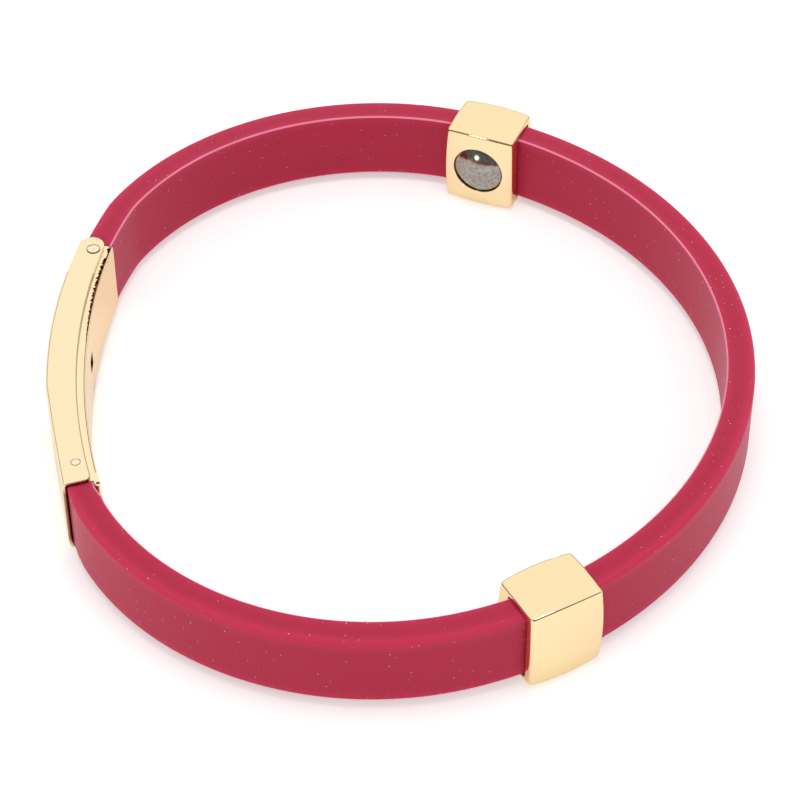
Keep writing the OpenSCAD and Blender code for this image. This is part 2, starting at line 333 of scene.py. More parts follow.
def add_node(tree, kind, settings=(), **links):
    """Adds a node with its settings, and links or sets its inputs by name, with _ for a space."""
    node = tree.nodes.new(kind)
    for key, value in dict(settings).items():
        setattr(node, key, value)
    for key, value in links.items():
        name = key.replace("_", " ")
        socket = node.inputs[int(key[1:])] if key[0] == "i" and key[1:].isdigit() else node.inputs[name]
        if isinstance(value, bpy.types.NodeSocket):
            tree.links.new(value, socket)
        else:
            socket.default_value = value
    return node


def mixed(tree, factor, start, end):
    """The colour at a factor's place between two, each a socket or linear RGBA."""
    node = add_node(tree, "ShaderNodeMix", {"data_type": "RGBA"}, Factor=factor, i6=start, i7=end)
    return node.outputs[2]


def new_material(name):
    """An empty material and its tree."""
    material = bpy.data.materials.new(name)
    material.use_nodes = True
    material.node_tree.nodes.clear()
    return material, material.node_tree


def close_material(tree, shader):
    """Gives a material its surface."""
    add_node(tree, "ShaderNodeOutputMaterial", Surface=shader.outputs[0])


def silicone():
    """Moulded silicone: a satin skin that light soaks into, painted glow on its edges, a painted highlight
    line on its inner edges, and pale dust that clings.
    """
    material, tree = new_material("moulded_silicone")
    place = add_node(tree, "ShaderNodeTexCoord").outputs["Object"]
    # Dust grains about 0.13 mm across and a millimetre or two apart, most of them faint
    grains = add_node(tree, "ShaderNodeTexVoronoi", {"feature": "F1"}, Vector=place, Scale=1 / (0.6 * MM))
    picked = add_node(tree, "ShaderNodeMath", {"operation": "LESS_THAN"},
                      i0=grains.outputs["Distance"], i1=0.11)
    shade = add_node(tree, "ShaderNodeSeparateColor", Color=grains.outputs["Color"])
    faint = add_node(tree, "ShaderNodeMath", {"operation": "POWER"}, i0=shade.outputs["Red"], i1=2.5)
    dust = add_node(tree, "ShaderNodeMath", {"operation": "MULTIPLY"},
                    i0=picked.outputs[0], i1=faint.outputs[0])
    # Painted light: near the edges the colour is brighter and pinker, standing for light that comes through
    edge = add_node(tree, "ShaderNodeAttribute", {"attribute_name": "shade"}).outputs["Fac"]
    body = mixed(tree, edge, linear("#c63754"), linear("#d43f61"))
    # A painted highlight: the mould's parting edge, on the band's inner side, is a thin, paler line
    highlight_mask = add_node(tree, "ShaderNodeMath", {"operation": "SUBTRACT", "use_clamp": True}, i0=edge, i1=1.0)
    highlighted_colour = mixed(tree, highlight_mask.outputs[0], body, linear("#f29ab4"))
    tint = mixed(tree, dust.outputs[0], highlighted_colour, linear("#f0c0cc"))
    # Fine unevenness of the moulded skin, about 0.5 mm from crest to crest
    skin = add_node(tree, "ShaderNodeTexNoise", Vector=place, Scale=1 / (0.5 * MM), Detail=3.0)
    bump = add_node(tree, "ShaderNodeBump", Height=skin.outputs["Fac"], Strength=0.12, Distance=0.02 * MM)
    shader = add_node(tree, "ShaderNodeBsdfPrincipled", Base_Color=tint, Roughness=0.4, IOR=1.41,
                      Normal=bump.outputs[0], Specular_IOR_Level=0.15, Subsurface_Weight=1.0,
                      Subsurface_Radius=(1.0, 0.3, 0.4), Subsurface_Scale=0.6 * MM)
    close_material(tree, shader)
    return material


def gold(name, colour, roughness):
    """Pale gold electroplate on polished metal: bright, almost mirror-like, with faint polishing marks,
    darkened by painted shade in seams and on some edges.
    """
    material, tree = new_material(name)
    place = add_node(tree, "ShaderNodeTexCoord").outputs["Object"]
    # Polishing marks about 0.4 mm apart, which only soften the reflections
    marks = add_node(tree, "ShaderNodeTexNoise", Vector=place, Scale=1 / (0.4 * MM), Detail=4.0)
    spread = add_node(tree, "ShaderNodeMapRange", Value=marks.outputs["Fac"],
                      To_Min=roughness * 0.8, To_Max=roughness * 1.2)
    bump = add_node(tree, "ShaderNodeBump", Height=marks.outputs["Fac"], Strength=0.05, Distance=0.01 * MM)
    # Painted shade: seams, sheared edges and the rings round pin heads are mixed towards dark brown
    painted_shade = add_node(tree, "ShaderNodeAttribute", {"attribute_name": "shade"}).outputs["Fac"]
    tint = mixed(tree, painted_shade, linear(colour), linear("#8a5c30"))
    shader = add_node(tree, "ShaderNodeBsdfPrincipled", Base_Color=tint, Metallic=1.0,
                      Roughness=spread.outputs["Result"], Normal=bump.outputs[0],
                      Specular_Tint=linear("#fceddf"))
    close_material(tree, shader)
    return material


def magnet_stone():
    """Polished iron oxide: a dark metallic grey with a glassy skin and a faint grainy mottle."""
    material, tree = new_material("polished_hematite")
    place = add_node(tree, "ShaderNodeTexCoord").outputs["Object"]
    # Grains about 0.35 mm across
    mottle = add_node(tree, "ShaderNodeTexNoise", Vector=place, Scale=1 / (0.35 * MM), Detail=4.0)
    spread = add_node(tree, "ShaderNodeMapRange", Value=mottle.outputs["Fac"], From_Min=0.3, From_Max=0.7)
    tint = mixed(tree, spread.outputs["Result"], linear("#8d877e"), linear("#b4b0a8"))
    shader = add_node(tree, "ShaderNodeBsdfPrincipled", Base_Color=tint, Metallic=1.0, Roughness=0.14)
    close_material(tree, shader)
    return material


SILICONE = silicone()
GOLD_SHEET = gold("gold_plated_sheet", "#feebc2", 0.12)
GOLD_BEAD = gold("gold_plated_bead", "#fee6b7", 0.07)
GOLD_WIRE = gold("gold_plated_wire", "#feeccb", 0.10)
STONE = magnet_stone()


def dress(piece, body, slot, material, *nodes):
    """Gives a piece its material and body, and lets it stand for CAD nodes. slot is not used."""
    piece.data.materials.clear()
    piece.data.materials.append(material)
    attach(piece, body)
    if nodes:
        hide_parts(*nodes)
    return piece


# ---------------------------------------------------------------- band

def painted_glow_points(half_t, half_w, inner_r, outer_r):
    """The band's outline about its middle as (across, up, glow). The glow is painted light that comes
    through
    near its four edges: it is 1 on an edge and fades within about a millimetre. On the mould's parting edge
    it is 2, which paints a paler highlight line."""
    corners = rounded_rectangle(half_t, half_w, outer_r, inner_r, steps=6)
    count = len(corners) // 4
    outline = []
    for i, (x, y) in enumerate(corners):
        # Points of the inner corners get 2, which paints the highlight line
        outline.append((x, y, 2.0 if x < 0 else 1.0))
        if i % count == count - 1:
            nx, ny = corners[(i + 1) % len(corners)]
            run = math.hypot(nx - x, ny - y)
            # Points between two corners, as shares of the way, closer together near the edges
            for share in (0.01, 0.12, 0.24, 0.4, 0.6, 0.76, 0.88, 0.99):
                near = run * min(share, 1 - share)
                glow = max(0.0, 1 - near / PAINTED_GLOW_DEPTH) ** 2
                outline.append((x + (nx - x) * share, y + (ny - y) * share, glow))
    return outline


def band_section(centre, outwards, inner_r, outer_r, half_w, edges):
    """The band's section between two radii about a centre in plan, with its inner and outer edge radii. A
    point is (x, y, z, glow), where the glow is painted light."""
    middle = (inner_r + outer_r) / 2
    section = []
    for across, up, glow in painted_glow_points((outer_r - inner_r) / 2, half_w, *edges):
        at = centre + (middle + across) * outwards
        section.append((at.x, at.y, up, glow))
    return section


def clasp_stations(*stations):
    """Sections of the band along the clasp arc. A station is (s, inner radius, outer radius, half width,
    edge radius)."""
    loops = []
    for (s0, *first), (s1, *second) in zip(stations, stations[1:]):
        count = max(1, round(abs(s1 - s0) / BAND_STEP))
        for i in range(count + 1):
            t = i / count
            inner_r, outer_r, half_w, edge_r = (a + (b - a) * t for a, b in zip(first, second))
            outwards = direction(clasp_degrees(s0 + (s1 - s0) * t))
            loops.append(band_section(CLASP_CENTRE, outwards, inner_r, outer_r, half_w, (edge_r, edge_r)))
    return loops


def band():
    """The moulded band: a full ring of tangent arcs, with thinned ends inside the clasp."""
    inner_r, outer_r = CLASP_ARC_R - BAND_T / 2, CLASP_ARC_R + BAND_T / 2
    tip = (CLASP_ARC_R - TIP_T / 2, CLASP_ARC_R + TIP_T / 2, TIP_W / 2, TIP_EDGE_R)
    tongue = (tip[0], tip[1], LOOP_TIP_W / 2, TIP_EDGE_R)
    tip_a = WINDOW_S + WINDOW_L + SHOULDER_GAP
    body_a = HINGE_S + EAR_R + 0.08
    loops = clasp_stations((tip_a, *tip), (body_a, *tip),
                           (body_a + 0.02, inner_r + 0.05, outer_r - 0.05, BAND_W / 2 - 0.06, 0.15))
    edges = (INNER_EDGE_R, OUTER_EDGE_R)
    arcs = [(CLASP_CENTRE, CLASP_ARC_R, clasp_degrees(body_a + 0.1), TURN_1),
            (SHOULDER_CENTRE, SHOULDER_ARC_R, TURN_1, TURN_2),
            (SIDE_CENTRE, SIDE_ARC_R, TURN_2, TURN_3),
            (END_CENTRE, END_ARC_R, TURN_3, -TURN_3),
            (Vector((SIDE_CENTRE.x, -SIDE_CENTRE.y)), SIDE_ARC_R, -TURN_3, -TURN_2),
            (Vector((SHOULDER_CENTRE.x, -SHOULDER_CENTRE.y)), SHOULDER_ARC_R, -TURN_2, -TURN_1),
            (CLASP_CENTRE, CLASP_ARC_R, -TURN_1, clasp_degrees(BODY_B_S - 0.9) - 360)]
    for centre, radius, start, end in arcs:
        count = max(2, math.ceil(math.radians(start - end) * radius / BAND_STEP))
        for i in range(count):
            outwards = direction(start + (end - start) * i / count)
            loops.append(band_section(centre, outwards, radius - BAND_T / 2, radius + BAND_T / 2,
                                      BAND_W / 2, edges))
    # In the clasp's mouth the band passes over the base's lip and clears the cover's back
    lip_top = BASE_OUT_R + SHEET / 2 + LIP_R + 0.07
    mouth = (lip_top, outer_r, BAND_W / 2 - 0.02, 0.15)
    throat = (lip_top, outer_r - 0.25, BASE_HALF_W - SHEET - 0.02, 0.15)
    loops += clasp_stations((BODY_B_S - 0.85, inner_r, outer_r, BAND_W / 2, 0.2),
                            (BODY_B_S + 0.3, lip_top, outer_r, BAND_W / 2, 0.2),
                            (COVER_END_S + 0.02, *mouth), (COVER_END_S + 0.05, *throat),
                            (FLANGE_END_S - 0.4, *throat),
                            (FLANGE_END_S - 0.35, lip_top, tip[1], TIP_W / 2, 0.2),
                            (FLANGE_END_S + 1.0, *tip), (LOOP_PIN_S - 1.5, *tip),
                            (LOOP_PIN_S - 1.45, *tongue), (LOOP_PIN_S + TIP_T / 2, *tongue))
    verts, faces = loft(loops)
    # The fourth value of each point paints light into the band's colour: a glow near its edges and a
    # highlight line
    piece = make_object("silicone_band", [v[:3] for v in verts], faces, painted_shading=[v[3] for v in verts])
    smooth(piece, 50, weighted=False)
    return dress(piece, "band_and_base", "silicone_band", SILICONE, "band")


# ---------------------------------------------------------------- clasp

def flatten(s, most):
    """How far the clasp's wrist side lies inside its arc at s."""
    return most * max(0.0, 1 - ((s - CLASP_MIDDLE_S) / CLASP_HALF_L) ** 2)


def ramp(value, start, end):
    """0 before start, 1 after end, and a straight line between them."""
    return min(1.0, max(0.0, (value - start) / (end - start)))


def cover_profile(s, thin):
    """Closed outline of the cover's channel at s. thin takes metal off both faces. A point is (radius,
    height, painted shade): painted shade makes its sheared edges darker than its faces."""
    rim = RIM_R - flatten(s, RIM_FLATTEN)
    along = min(1.0, (s - COVER_END_S) / BACK_FLATTEN_L)
    outer = COVER_OUT_R - BACK_FLATTEN * 4 * along * (1 - along)
    # The flange's corner at the square end is rounded off
    reach = COVER_CORNER_R - (s - COVER_END_S)
    if reach > 0:
        rim += COVER_CORNER_R - math.sqrt(COVER_CORNER_R ** 2 - reach ** 2)
    bend, half_w, edge_r = COVER_BEND_R, COVER_HALF_W, SHEET_EDGE_R

    def bent(radius):
        return [(outer - bend + radius * math.sin(a), half_w - bend + radius * math.cos(a), 0.0)
                for a in (math.pi / 2 * i / BEND_STEPS for i in range(BEND_STEPS + 1))]

    # Painted shade: the back is darkened at its cut end, between the bends
    end_shade = END_SHADE_DARKNESS if s - COVER_END_S < END_SHADE_L else 0.0
    # Painted shade darkens the sheared edge of each flange's rim
    skin = [(rim + edge_r, half_w - thin, RIM_SHADE_DARKNESS), (rim + edge_r + 0.05, half_w - thin, 0.0)]
    skin += bent(bend - thin)
    skin.append((outer - thin, half_w - 1.3, end_shade))
    inside = [(rim + edge_r, half_w - SHEET + thin, 0.0), (rim + edge_r + 0.05, half_w - SHEET + thin, 0.0)]
    inside += bent(bend - SHEET + thin)
    inside.append((outer - SHEET + thin, half_w - 1.3, end_shade))
    rim_low = [(rim, thin + edge_r * 0.5 - half_w, RIM_SHADE_DARKNESS),
               (rim, SHEET - thin - edge_r * 0.5 - half_w, RIM_SHADE_DARKNESS)]
    rim_high = [(r, -z, painted_shade) for r, z, painted_shade in reversed(rim_low)]
    lower_skin = [(r, -z, painted_shade) for r, z, painted_shade in reversed(skin)]
    lower_inside = [(r, -z, painted_shade) for r, z, painted_shade in inside]
    return skin + lower_skin + rim_low + lower_inside + list(reversed(inside)) + rim_high


def shear_marks(s):
    """Uneven edge of a sheared strip at s, from -1 to 1, with teeth about half a millimetre long."""
    return sum(math.sin(2 * math.pi * s / length + phase) for length, phase in SHEAR_WAVES) / 3


def base_profile(s):
    """Closed outline of the base's channel at s. A ragged seam runs between its flanges and wrist
    plate, darkened by painted shade. A point is (radius, height, painted shade)."""
    sunk = flatten(s, BASE_FLATTEN)
    back = BASE_OUT_R - sunk
    rim, half_w, edge_r = BASE_RIM_R - sunk, BASE_HALF_W, 0.1
    seam = SEAM_W + SEAM_GAIN_W * ramp(s, 0, 8) * (1 + SEAM_RAGGED * shear_marks(s))
    depth = SEAM_DEPTH + SEAM_GAIN_DEPTH * ramp(s, -2, 5)
    low, high = back + edge_r, back + edge_r + seam
    # Painted shade darkens the seam's walls and floor
    skin = [(rim, half_w, 0), (high + 0.02, half_w, 0), (high, half_w - 0.01, 1),
            (high - 0.01, half_w - depth, 1), (low + 0.01, half_w - depth, 1), (low, half_w - 0.03, 1)]
    skin += [(low + edge_r * math.cos(a), half_w - 0.02 - edge_r + edge_r * math.sin(a), 0)
             for a in (math.pi / 2 + math.pi / 2 * i / 4 for i in range(5))]
    inside = [(rim, half_w - SHEET, 0), (back + SHEET + 0.05, half_w - SHEET, 0),
              (back + SHEET, half_w - SHEET - 0.05, 0)]
    lower_skin = [(r, -z, painted_shade) for r, z, painted_shade in reversed(skin)]
    lower_inside = [(r, -z, painted_shade) for r, z, painted_shade in inside]
    return skin + lower_skin + lower_inside + list(reversed(inside))


def clasp_sweep(profile, s0, s1):
    """A skin over outlines along the clasp arc from s0 to s1. profile gives the (radius, height) points of
    the outline at s."""
    count = max(1, round(abs(s1 - s0) / SWEEP_STEP))
    places = [s0 + (s1 - s0) * i / count for i in range(count + 1)]
    return loft([[clasp_point(s, r, z) for r, z in profile(s)] for s in places])


def painted_shade_sweep(outlines):
    """A skin over outlines along the clasp arc, given as (s, outline), and the painted shade of each
    of its points. A point of an outline is (radius, height, painted shade)."""
    verts, faces = loft([[clasp_point(s, r, z) for r, z, _ in outline] for s, outline in outlines])
    return verts, faces, [painted_shade for _, outline in outlines for _, _, painted_shade in outline]


def plate(outline, z0, z1):
    """A flat plate with softened edges from an outline in plan."""
    steps = 3
    count = len(outline)
    normals = []
    for i in range(count):
        before, after = outline[i - 1], outline[(i + 1) % count]
        along = Vector((after[0] - before[0], after[1] - before[1])).normalized()
        normals.append(Vector((along.y, -along.x)))
    area = sum(outline[i - 1][0] * outline[i][1] - outline[i][0] * outline[i - 1][1] for i in range(count))
    sign = 1 if area > 0 else -1
    loops = []
    for base, way in ((z0, 1), (z1, -1)):
        ring = []
        for i in range(steps + 1):
            turn = math.pi / 2 * i / steps
            inset = SHEET_EDGE_R * (1 - math.sin(turn))
            z = base + way * SHEET_EDGE_R * (1 - math.cos(turn))
            ring.append([(p[0] - sign * n.x * inset, p[1] - sign * n.y * inset, z)
                         for p, n in zip(outline, normals)])
        loops += ring if way > 0 else ring[::-1]
    return loft(loops)


def ear_outline(s_start, s_centre, r_centre, radius, sunk):
    """Outline in plan of a flange's end: two runs along the clasp and a round end."""
    steps, round_steps = 6, 24
    places = [s_start + (s_centre - s_start) * i / steps for i in range(steps)]
    points = [clasp_point(s, r_centre - radius - flatten(s, sunk) + 0.005) for s in places]
    for i in range(round_steps + 1):
        turn = -math.pi / 2 + math.pi * i / round_steps
        s = s_centre + radius * math.cos(turn)
        inner = i < round_steps / 2
        points.append(clasp_point(s, r_centre + radius * math.sin(turn) - flatten(s, sunk) * inner))
    points += [clasp_point(s, r_centre + radius) for s in reversed(places)]
    return [(p.x, p.y) for p in points]


def channel_cap(count, first):
    """Faces that close the end of the cover's channel, whose skin and inside pair up point by point."""
    half = count // 2 - 2
    faces = [(first + k, first + k + 1, first + count - 4 - k, first + count - 3 - k)
             for k in range(half - 1)]
    faces.append(tuple(first + half + i for i in (-1, 0, 1, 2)))
    faces.append((first + count - 3, first + count - 2, first + count - 1, first))
    return faces


def clasp_cover():
    """The outer channel of pressed sheet, with round ears at its hinge."""
    round_r = SHEET / 2
    turns = [math.pi / 2 * i / 5 for i in range(5)]
    stations = [(COVER_END_S + round_r * (1 - math.cos(a)), round_r * 0.98 * (1 - math.sin(a)))
                for a in turns]
    steps = 240
    first = COVER_END_S + round_r
    stations += [(first + (WALL_END_S - first) * i / steps, 0.0) for i in range(steps + 1)]
    skin, faces, painted_shades = painted_shade_sweep([(s, cover_profile(s, thin)) for s, thin in stations])
    count = len(skin) // len(stations)
    parts = [(skin, faces[:-2] + channel_cap(count, 0) + channel_cap(count, len(skin) - count))]
    for low, high in ((COVER_HALF_W - SHEET, COVER_HALF_W), (-COVER_HALF_W, SHEET - COVER_HALF_W)):
        outline = ear_outline(WALL_END_S - 0.3, EAR_S, RIM_R + EAR_R, EAR_R, RIM_FLATTEN)
        parts.append(plate(outline, low + 0.002, high - 0.002))
    verts, faces = joined(parts)
    painted_shades += [0.0] * (len(verts) - len(painted_shades))
    piece = smooth(make_object("clasp_cover_sheet", verts, faces, painted_shading=painted_shades), 40)
    return dress(piece, "cover", "gold_sheet", GOLD_SHEET, "clasp_cover")


def base_strip(low, high, half_w):
    """Outline at s of a strip of the base's plate, between two heights above its wrist face."""
    return lambda s: [(BASE_OUT_R - flatten(s, BASE_FLATTEN) + height, z)
                      for height, z in ((low, half_w), (low, -half_w), (high, -half_w), (high, half_w))]


def low_flange(low, high, top):
    """Outline at s of the base's low edge beside its lip, between two heights across the band, up to a
    radius."""
    return lambda s: [(BASE_OUT_R - flatten(s, BASE_FLATTEN) + 0.01, z) for z in (low, high)] + [
        (top, z) for z in (high - 0.01, low + 0.01)]


def clasp_base():
    """The inner channel of pressed sheet, with a window, a hook tongue and a curled lower edge."""
    end_s = HINGE_S + EAR_R
    steps = round((end_s - FLANGE_END_S) / 0.08)
    places = [FLANGE_END_S + (end_s - FLANGE_END_S) * i / steps for i in range(steps + 1)]
    verts, faces, painted_shades = painted_shade_sweep([(s, base_profile(s)) for s in places])
    piece = make_object("clasp_base_sheet", verts, faces, painted_shading=painted_shades)
    tool = clasp_sweep(base_strip(-0.5, 0.8, WINDOW_W / 2), WINDOW_S, WINDOW_S + WINDOW_L)
    cut(piece, make_object("window_tool", *tool))
    extras = [clasp_sweep(base_strip(SHEET / 2, SHEET + TONGUE_H, TONGUE_W / 2), TONGUE_S - SHEET, TONGUE_S),
              clasp_sweep(base_strip(0, SHEET, BASE_HALF_W), BASE_END_S, FLANGE_END_S + 0.01)]
    lip = arc_points((BASE_OUT_R + SHEET / 2, BASE_END_S), LIP_R, 0, 2 * math.pi, 16)[:-1]
    extras.append(loft([[clasp_point(s, r, z) for r, s in lip] for z in (-BASE_HALF_W, BASE_HALF_W)]))
    for low, high in ((BASE_HALF_W - SHEET, BASE_HALF_W), (-BASE_HALF_W, SHEET - BASE_HALF_W)):
        beside_lip = low_flange(low, high, BASE_OUT_R + SHEET / 2 + LIP_R + 0.04)
        in_cover = low_flange(low, high, RIM_R + 0.4)
        extras.append(clasp_sweep(beside_lip, BASE_END_S + 0.05, COVER_END_S + 0.12))
        extras.append(clasp_sweep(in_cover, COVER_END_S + 0.1, FLANGE_END_S + 0.02))
        outline = ear_outline(HINGE_S - 0.5, HINGE_S, BASE_RIM_R, EAR_R, BASE_FLATTEN)
        extras.append(plate(outline, low + 0.004, high - 0.004))
    rest = make_object("base_rest", *joined(extras))
    work = bmesh.new()
    work.from_mesh(piece.data)
    work.from_mesh(rest.data)
    work.to_mesh(piece.data)
    work.free()
    bpy.data.objects.remove(rest)
    smooth(piece, 40)
    return dress(piece, "band_and_base", "gold_sheet", GOLD_SHEET, "clasp_base")


def domed_head(radius, height, dimple):
    """Profile of a pin's domed head above a flat, with a round dimple in its middle."""
    ball = (radius * radius + height * height) / (2 * height)
    steps = 12
    profile = []
    for i in range(steps + 1):
        r = radius * math.cos(math.pi / 2 * i / steps)
        z = height - ball + math.sqrt(ball * ball - r * r)
        z -= dimple * math.exp(-(r / (0.28 * radius)) ** 2)
        profile.append((max(r, AXIS_R), z))
    return profile


def standing(part, s, z, side=1):
    """Moves a turned skin to a place on the clasp's middle line, upside down where side is -1."""
    verts, faces = part
    at = clasp_point(s, CLASP_ARC_R, z)
    return [(v[0] + at.x, v[1] + at.y, side * v[2] + side * at.z) for v in verts], faces


def painted_ring_shade(verts, s, inner, outer):
    """Painted shade round a head's rim: 1 between two distances from an upright axis on the clasp's middle
    line.
    """
    at = clasp_point(s, CLASP_ARC_R)
    return [float(inner < math.hypot(v[0] - at.x, v[1] - at.y) < outer) for v in verts]


def hinge_pin():
    """The cover's pin: plain wire with a domed, dimpled head at each end."""
    top = COVER_HALF_W + 0.05
    head = [(AXIS_R, -0.02), (PIN_HEAD_R, -0.02)] + domed_head(PIN_HEAD_R, PIN_HEAD_H, PIN_DIMPLE)
    shaft = [(AXIS_R, -top), (PIN_R, -top), (PIN_R, top), (AXIS_R, top)]
    parts = [standing(turned(shaft), HINGE_S, 0.0)]
    parts += [standing(turned(head), HINGE_S, top, side) for side in (1, -1)]
    verts, faces = joined(parts)
    piece = make_object("hinge_pin_wire", verts, faces, painted_shading=painted_ring_shade(verts, HINGE_S, *PIN_SHADE_RING))
    smooth(piece, 40)
    return dress(piece, "band_and_base", "gold_pins", GOLD_WIRE, "hinge_pin")


def latch_studs():
    """A riveted stud in each flange of the cover."""
    stud = [(AXIS_R, -STUD_L), (STUD_R, -STUD_L)] + domed_head(STUD_R, STUD_HEAD_H, STUD_DIMPLE)
    verts, faces = joined([standing(turned(stud), STUD_S, COVER_HALF_W, side) for side in (1, -1)])
    piece = make_object("latch_stud_pair", verts, faces, painted_shading=painted_ring_shade(verts, STUD_S, *STUD_SHADE_RING))
    smooth(piece, 40)
    return dress(piece, "cover", "gold_pins", GOLD_WIRE, "latch_studs")


# ---------------------------------------------------------------- beads

def crown_height(half, a, b, radius, u, v):
    """Height of a crowned face over a place (u, v), where its corners (a, b) stand at half."""
    return half - math.sqrt(radius ** 2 - a * a - b * b) + math.sqrt(radius ** 2 - u * u - v * v)


# Distances from a bead's middle: the top of its inner face and the bottom of the magnet's seat
FACE_Y = crown_height(BEAD_D / 2, BEAD_L / 2, BEAD_H / 2, FACE_CROWN_R, 0, 0)
SEAT_BOTTOM = BAND_T / 2 + SLOT_GAP - SLOT_OFFSET + SEAT_FLOOR


def bead_place(angle):
    """Matrix that puts a bead's own axes in the frame: X along the band, Y outwards, Z up."""
    outwards = direction(angle)
    middle = END_CENTRE + (END_ARC_R - SLOT_OFFSET) * outwards
    place = Matrix.Translation((middle.x, middle.y, 0))
    return place @ Matrix.Rotation(math.radians(angle - 90), 4, "Z")


def bead_depth(x, y, z):
    """How far a place lies outside the bead's four crowned sides, with a fillet where two of them meet."""
    a, b, c = BEAD_L / 2, BEAD_D / 2, BEAD_H / 2
    over_y = abs(y) - crown_height(b, a, c, FACE_CROWN_R, x, z)
    over_z = abs(z) - crown_height(c, a, b, FACE_CROWN_R, x, y)
    p, q = over_y + BEAD_EDGE_R, over_z + BEAD_EDGE_R
    if p > 0 and q > 0:
        return math.hypot(p, q) - BEAD_EDGE_R
    return max(over_y, over_z)


def bead_loop(x, inset, sides):
    """Outline of the bead's sides at x, sunk by inset. Points crowd towards the four edges."""
    loop = []
    edge = math.atan2(BEAD_H, BEAD_D)
    marks = [-edge, edge, math.pi - edge, math.pi + edge, 2 * math.pi - edge]
    for start, end in zip(marks, marks[1:]):
        for i in range(sides // 4):
            t = i / (sides // 4)
            t -= CROWDING * math.sin(2 * math.pi * t)
            turn = start + (end - start) * t
            cy, sz = math.cos(turn), math.sin(turn)
            # The surface lies between a place inside and one outside, whose span is halved over and over
            low, high = 0.5, 8.0
            for _ in range(40):
                middle = (low + high) / 2
                if bead_depth(x, middle * cy, middle * sz) > -inset:
                    high = middle
                else:
                    low = middle
            loop.append((low * cy, low * sz))
    return loop


def slot_loop(x, grow, sides):
    """Outline of the slot at x, which follows the band's arc."""
    centre_y = SLOT_OFFSET - END_ARC_R + math.sqrt(END_ARC_R ** 2 - x * x)
    outline = rounded_rectangle(BAND_T / 2 + SLOT_GAP + grow, BAND_W / 2 + SLOT_GAP + grow,
                                SLOT_CORNER_R + grow, steps=sides // 4 - 1)
    start = 3 * len(outline) // 4
    return [(y + centre_y, z) for y, z in outline[start:] + outline[:start]]


def bead_shell_skin(sides=96):
    """The bead as one closed skin: crowned sides, filleted ends and a slot right through."""
    a = BEAD_L / 2

    def end_x(y, z):
        return crown_height(a, BEAD_D / 2, BEAD_H / 2, END_CROWN_R, y, z)

    side_steps, fillet_steps, face_steps, edge_steps, slot_steps = 20, 6, 5, 3, 8
    half_rings = []
    for i in range(side_steps + 1):
        x = (a - BEAD_EDGE_R) * i / side_steps
        half_rings.append([(x, y, z) for y, z in bead_loop(x, 0.0, sides)])
    for i in range(1, fillet_steps + 1):
        turn = math.pi / 2 * i / fillet_steps
        inset = BEAD_EDGE_R * (1 - math.cos(turn))
        x = a - BEAD_EDGE_R * (1 - math.sin(turn))
        half_rings.append([(x + end_x(y, z) - a, y, z) for y, z in bead_loop(x, inset, sides)])
    outer = [(y, z) for _, y, z in half_rings[-1]]
    mouth = slot_loop(a, SLOT_EDGE_R, sides)
    for i in range(1, face_steps + 1):
        t = i / face_steps
        ring = []
        for (y0, z0), (y1, z1) in zip(outer, mouth):
            y, z = y0 + (y1 - y0) * t, z0 + (z1 - z0) * t
            ring.append((end_x(y, z), y, z))
        half_rings.append(ring)
    for i in range(1, edge_steps + 1):
        turn = math.pi / 2 * i / edge_steps
        grow = SLOT_EDGE_R * (1 - math.sin(turn))
        sink = SLOT_EDGE_R * (1 - math.cos(turn))
        half_rings.append([(end_x(y, z) - sink, y, z) for y, z in slot_loop(a, grow, sides)])
    for i in range(1, slot_steps + 1):
        x = (a - SLOT_EDGE_R) * (1 - i / slot_steps)
        half_rings.append([(x, y, z) for y, z in slot_loop(x, 0.0, sides)])
    mirrored = [[(-x, y, z) for x, y, z in ring] for ring in half_rings[1:-1]]
    return loft(half_rings + mirrored[::-1], closed=True)


def bead(name, body, angle, *nodes):
    """A cast bead that slides on the band, with a round seat for its magnet in its inner face."""
    place = bead_place(angle)
    verts, faces = bead_shell_skin()
    shell = make_object(name, [place @ Vector(v) for v in verts], faces)
    seat_r = MAGNET_D / 2 + SEAT_GAP
    profile = [(AXIS_R, SEAT_BOTTOM), (seat_r, SEAT_BOTTOM), (seat_r, FACE_Y - MOUTH_DEPTH)]
    profile += [(seat_r + MOUTH_W * (1 - math.cos(t)), FACE_Y - MOUTH_DEPTH + MOUTH_RISE * math.sin(t))
                for t in (math.pi / 2 * i / 4 for i in range(1, 5))]
    profile += [(seat_r + MOUTH_W, FACE_Y + 1), (AXIS_R, FACE_Y + 1)]
    inwards = place @ Matrix.Rotation(math.pi / 2, 4, "X")
    verts, faces = turned(profile, 72)
    cut(shell, make_object("seat_tool", [inwards @ Vector(v) for v in verts], faces))
    smooth(shell, 40)
    return dress(shell, body, "gold_bead", GOLD_BEAD, *nodes)


def magnet(name, body, angle, *nodes):
    """The magnet: a round disc with a domed, polished face."""
    rim = FACE_Y - RIM_DEPTH
    radius = MAGNET_D / 2
    ball = (radius ** 2 + DOME_H ** 2) / (2 * DOME_H)
    edge = math.asin(radius / ball)
    steps = 24
    profile = [(AXIS_R, SEAT_BOTTOM), (radius, SEAT_BOTTOM), (radius, rim - 0.05)]
    for i in range(steps + 1):
        turn = edge * (1 - i / steps)
        profile.append((max(AXIS_R, ball * math.sin(turn)), rim + DOME_H - ball + ball * math.cos(turn)))
    inwards = bead_place(angle) @ Matrix.Rotation(math.pi / 2, 4, "X")
    verts, faces = turned(profile, 96)
    piece = smooth(make_object(name, [inwards @ Vector(v) for v in verts], faces), 30)
    return dress(piece, body, "magnet_stone", STONE, *nodes)


# ---------------------------------------------------------------- build

